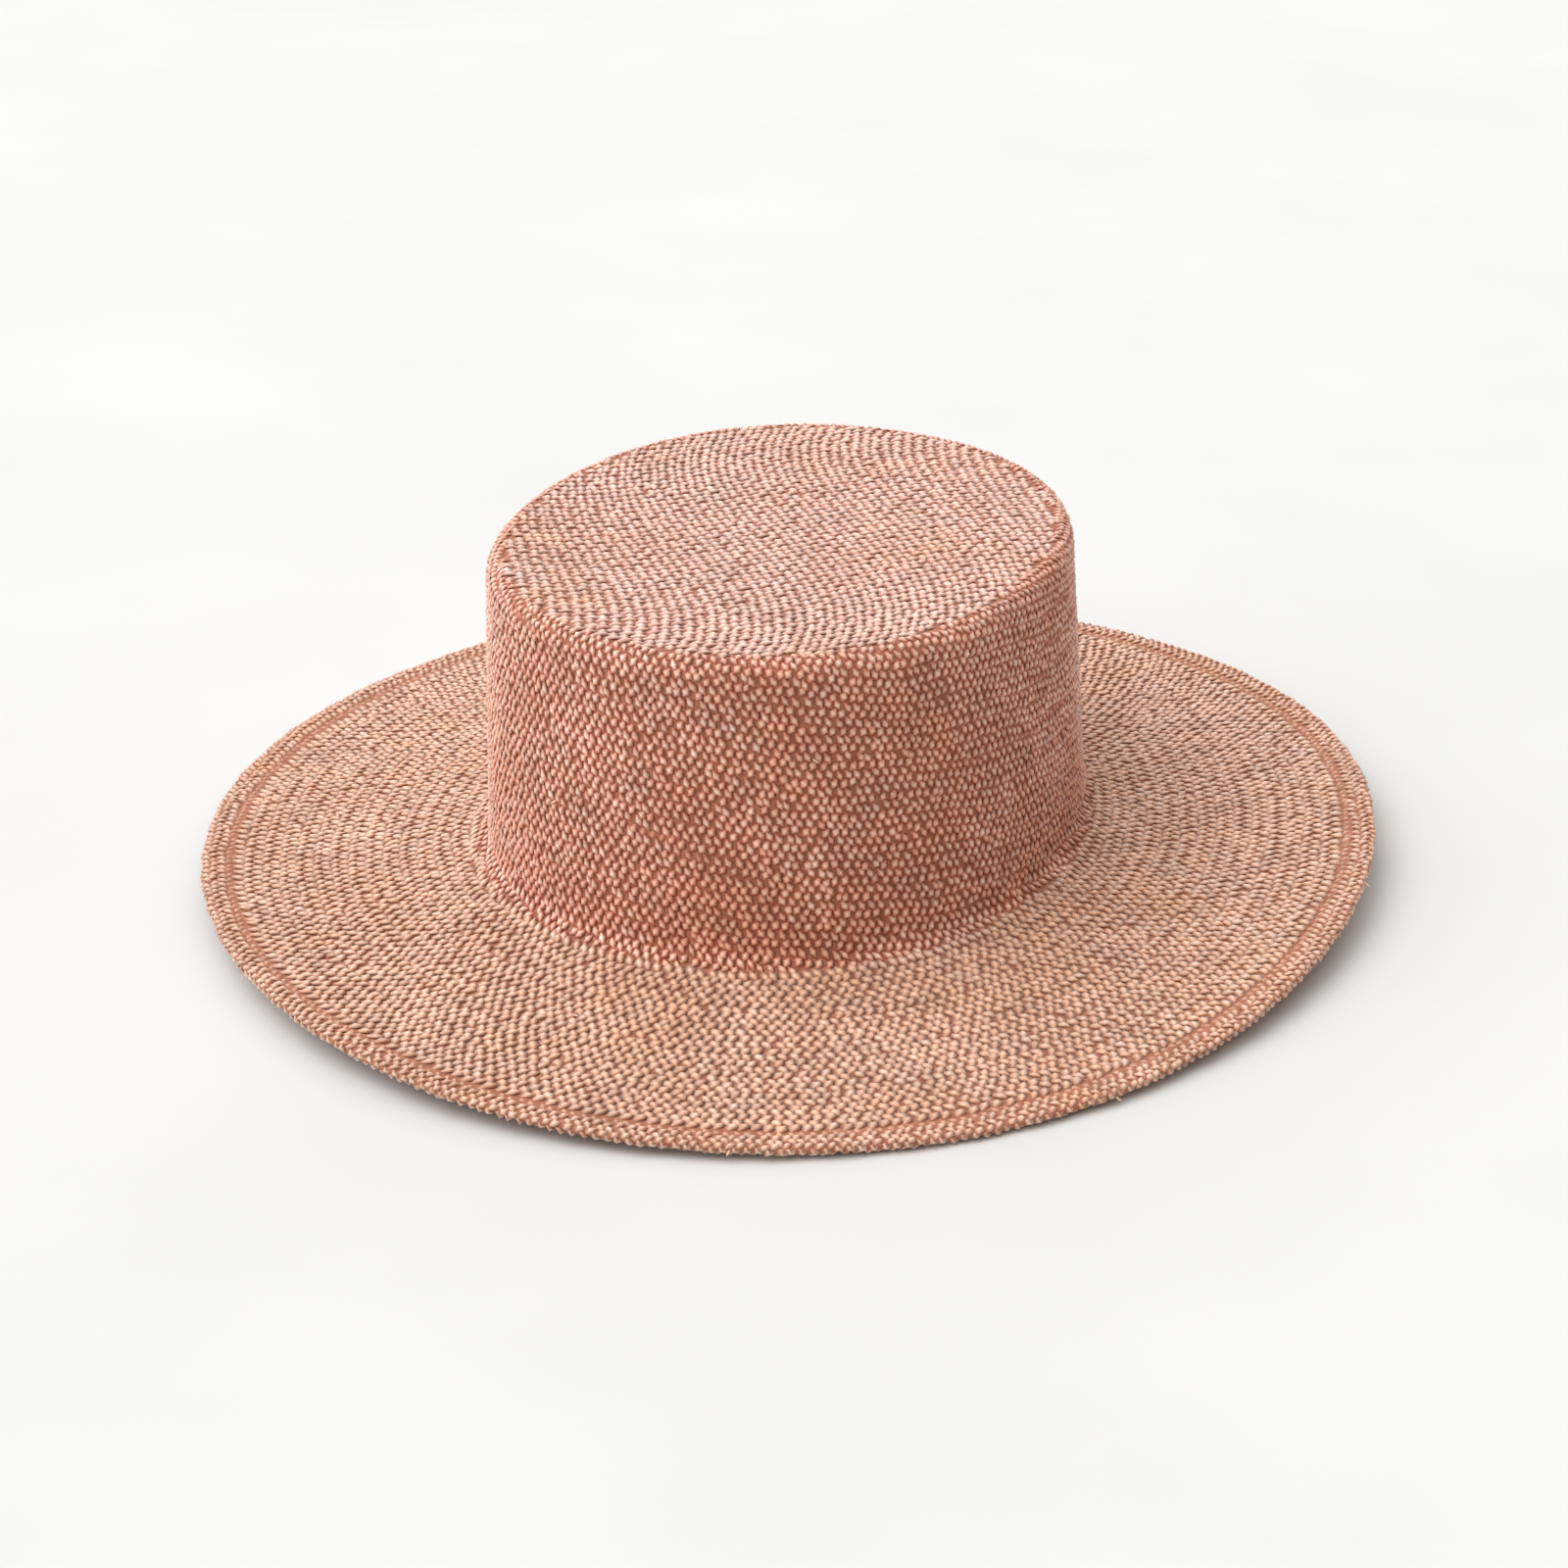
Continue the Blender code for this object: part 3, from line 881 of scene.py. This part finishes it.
class StrawHatSettings(bpy.types.PropertyGroup):
    """Sizes of the weave."""

    strand_fill: bpy.props.FloatProperty(
        name="Strand Fill", description="Width of a strand as a share of the way to its neighbour",
        default=0.95, min=0.6, max=1.2, subtype="FACTOR",
    )
    float_reach: bpy.props.FloatProperty(
        name="Float Reach", description="Half length of a float as a share of the way to the next crossing",
        default=0.84, min=0.5, max=1.1, subtype="FACTOR",
    )
    crest: bpy.props.FloatProperty(
        name="Crest", description="How far a float stands above the wall's face",
        default=0.00052, min=0.0001, max=0.001, unit="LENGTH",
    )
    crown_pitch: bpy.props.FloatProperty(
        name="Crown Row Pitch", description="Way down the crown's side from one row of crossings to the next",
        default=0.00257, min=0.0015, max=0.006, unit="LENGTH",
    )
    top_pitch: bpy.props.FloatProperty(
        name="Top Pitch", description="Way between neighbouring strands on the crown's top",
        default=0.0029, min=0.0015, max=0.006, unit="LENGTH",
    )
    brim_pitch: bpy.props.FloatProperty(
        name="Brim Row Pitch", description="Way out along the brim from one row of crossings to the next",
        default=0.0026, min=0.0015, max=0.006, unit="LENGTH",
    )
    float_spacing: bpy.props.FloatProperty(
        name="Float Spacing", description="Way round the brim from one float to the next in a row",
        default=0.0032, min=0.0015, max=0.006, unit="LENGTH",
    )
    crown_strands: bpy.props.IntProperty(
        name="Crown Strands", description="Strands of each family in the crown's side", default=206, min=60,
        max=320,
    )
    unevenness: bpy.props.FloatProperty(
        name="Unevenness", description="How far floats stray, as a share of the way between crossings",
        default=0.09, min=0.0, max=0.2, subtype="FACTOR",
    )
    strand_contrast: bpy.props.FloatProperty(
        name="Strand Contrast", description="How much the strands differ in colour", default=1.0, min=0.0,
        max=3.0,
    )
    seed: bpy.props.IntProperty(name="Seed", description="Start of the random numbers", default=4, min=0)


class STRAWHAT_OT_core(bpy.types.Operator):
    """Add the wall's core, dark with painted shade, which closes the weave"""

    bl_idname = "straw_hat.core"
    bl_label = "Add Core"
    bl_options = {"REGISTER", "UNDO"}

    def execute(self, context):
        build_core(context.scene.straw_hat)
        return {"FINISHED"}


class STRAWHAT_OT_crown(bpy.types.Operator):
    """Weave the outside of the crown"""

    bl_idname = "straw_hat.crown"
    bl_label = "Weave Crown"
    bl_options = {"REGISTER", "UNDO"}

    def execute(self, context):
        build_crown(context.scene.straw_hat)
        return {"FINISHED"}


class STRAWHAT_OT_brim(bpy.types.Operator):
    """Weave the upper face of the brim"""

    bl_idname = "straw_hat.brim"
    bl_label = "Weave Brim"
    bl_options = {"REGISTER", "UNDO"}

    def execute(self, context):
        build_brim(context.scene.straw_hat)
        return {"FINISHED"}


class STRAWHAT_OT_inside(bpy.types.Operator):
    """Weave the inside of the crown and the underside of the brim"""

    bl_idname = "straw_hat.inside"
    bl_label = "Weave Inside"
    bl_options = {"REGISTER", "UNDO"}

    def execute(self, context):
        build_inside(context.scene.straw_hat)
        return {"FINISHED"}


class STRAWHAT_OT_hem(bpy.types.Operator):
    """Fold the brim's edge under"""

    bl_idname = "straw_hat.hem"
    bl_label = "Add Hem"
    bl_options = {"REGISTER", "UNDO"}

    def execute(self, context):
        build_hem(context.scene.straw_hat)
        return {"FINISHED"}


class STRAWHAT_OT_ends(bpy.types.Operator):
    """Add the cut ends of single straws that stand off the wall"""

    bl_idname = "straw_hat.ends"
    bl_label = "Add Straw Ends"
    bl_options = {"REGISTER", "UNDO"}

    def execute(self, context):
        build_ends(context.scene.straw_hat)
        return {"FINISHED"}


class STRAWHAT_OT_stage(bpy.types.Operator):
    """Add the floor, the lights and the camera"""

    bl_idname = "straw_hat.stage"
    bl_label = "Add Stage"
    bl_options = {"REGISTER", "UNDO"}

    def execute(self, context):
        add_stage()
        return {"FINISHED"}


OPERATORS = (
    STRAWHAT_OT_core, STRAWHAT_OT_crown, STRAWHAT_OT_brim, STRAWHAT_OT_inside, STRAWHAT_OT_hem,
    STRAWHAT_OT_ends, STRAWHAT_OT_stage,
)


class STRAWHAT_PT_pieces(bpy.types.Panel):
    """The hat's settings and pieces"""

    bl_idname = "STRAWHAT_PT_pieces"
    bl_label = "Straw Hat"
    bl_space_type = "VIEW_3D"
    bl_region_type = "UI"
    bl_category = "Straw Hat"

    def draw(self, context):
        column = self.layout.column()
        for name in StrawHatSettings.__annotations__:
            column.prop(context.scene.straw_hat, name)
        for operator in OPERATORS:
            column.operator(operator.bl_idname)


CLASSES = (StrawHatSettings, *OPERATORS, STRAWHAT_PT_pieces)


def register():
    for cls in CLASSES:
        bpy.utils.register_class(cls)
    bpy.types.Scene.straw_hat = bpy.props.PointerProperty(type=StrawHatSettings)


def unregister():
    del bpy.types.Scene.straw_hat
    for cls in reversed(CLASSES):
        bpy.utils.unregister_class(cls)


def main():
    register()
    bpy.ops.straw_hat.core()
    bpy.ops.straw_hat.crown()
    bpy.ops.straw_hat.brim()
    bpy.ops.straw_hat.inside()
    bpy.ops.straw_hat.hem()
    bpy.ops.straw_hat.ends()
    bpy.ops.straw_hat.stage()


if __name__ == "__main__":
    main()
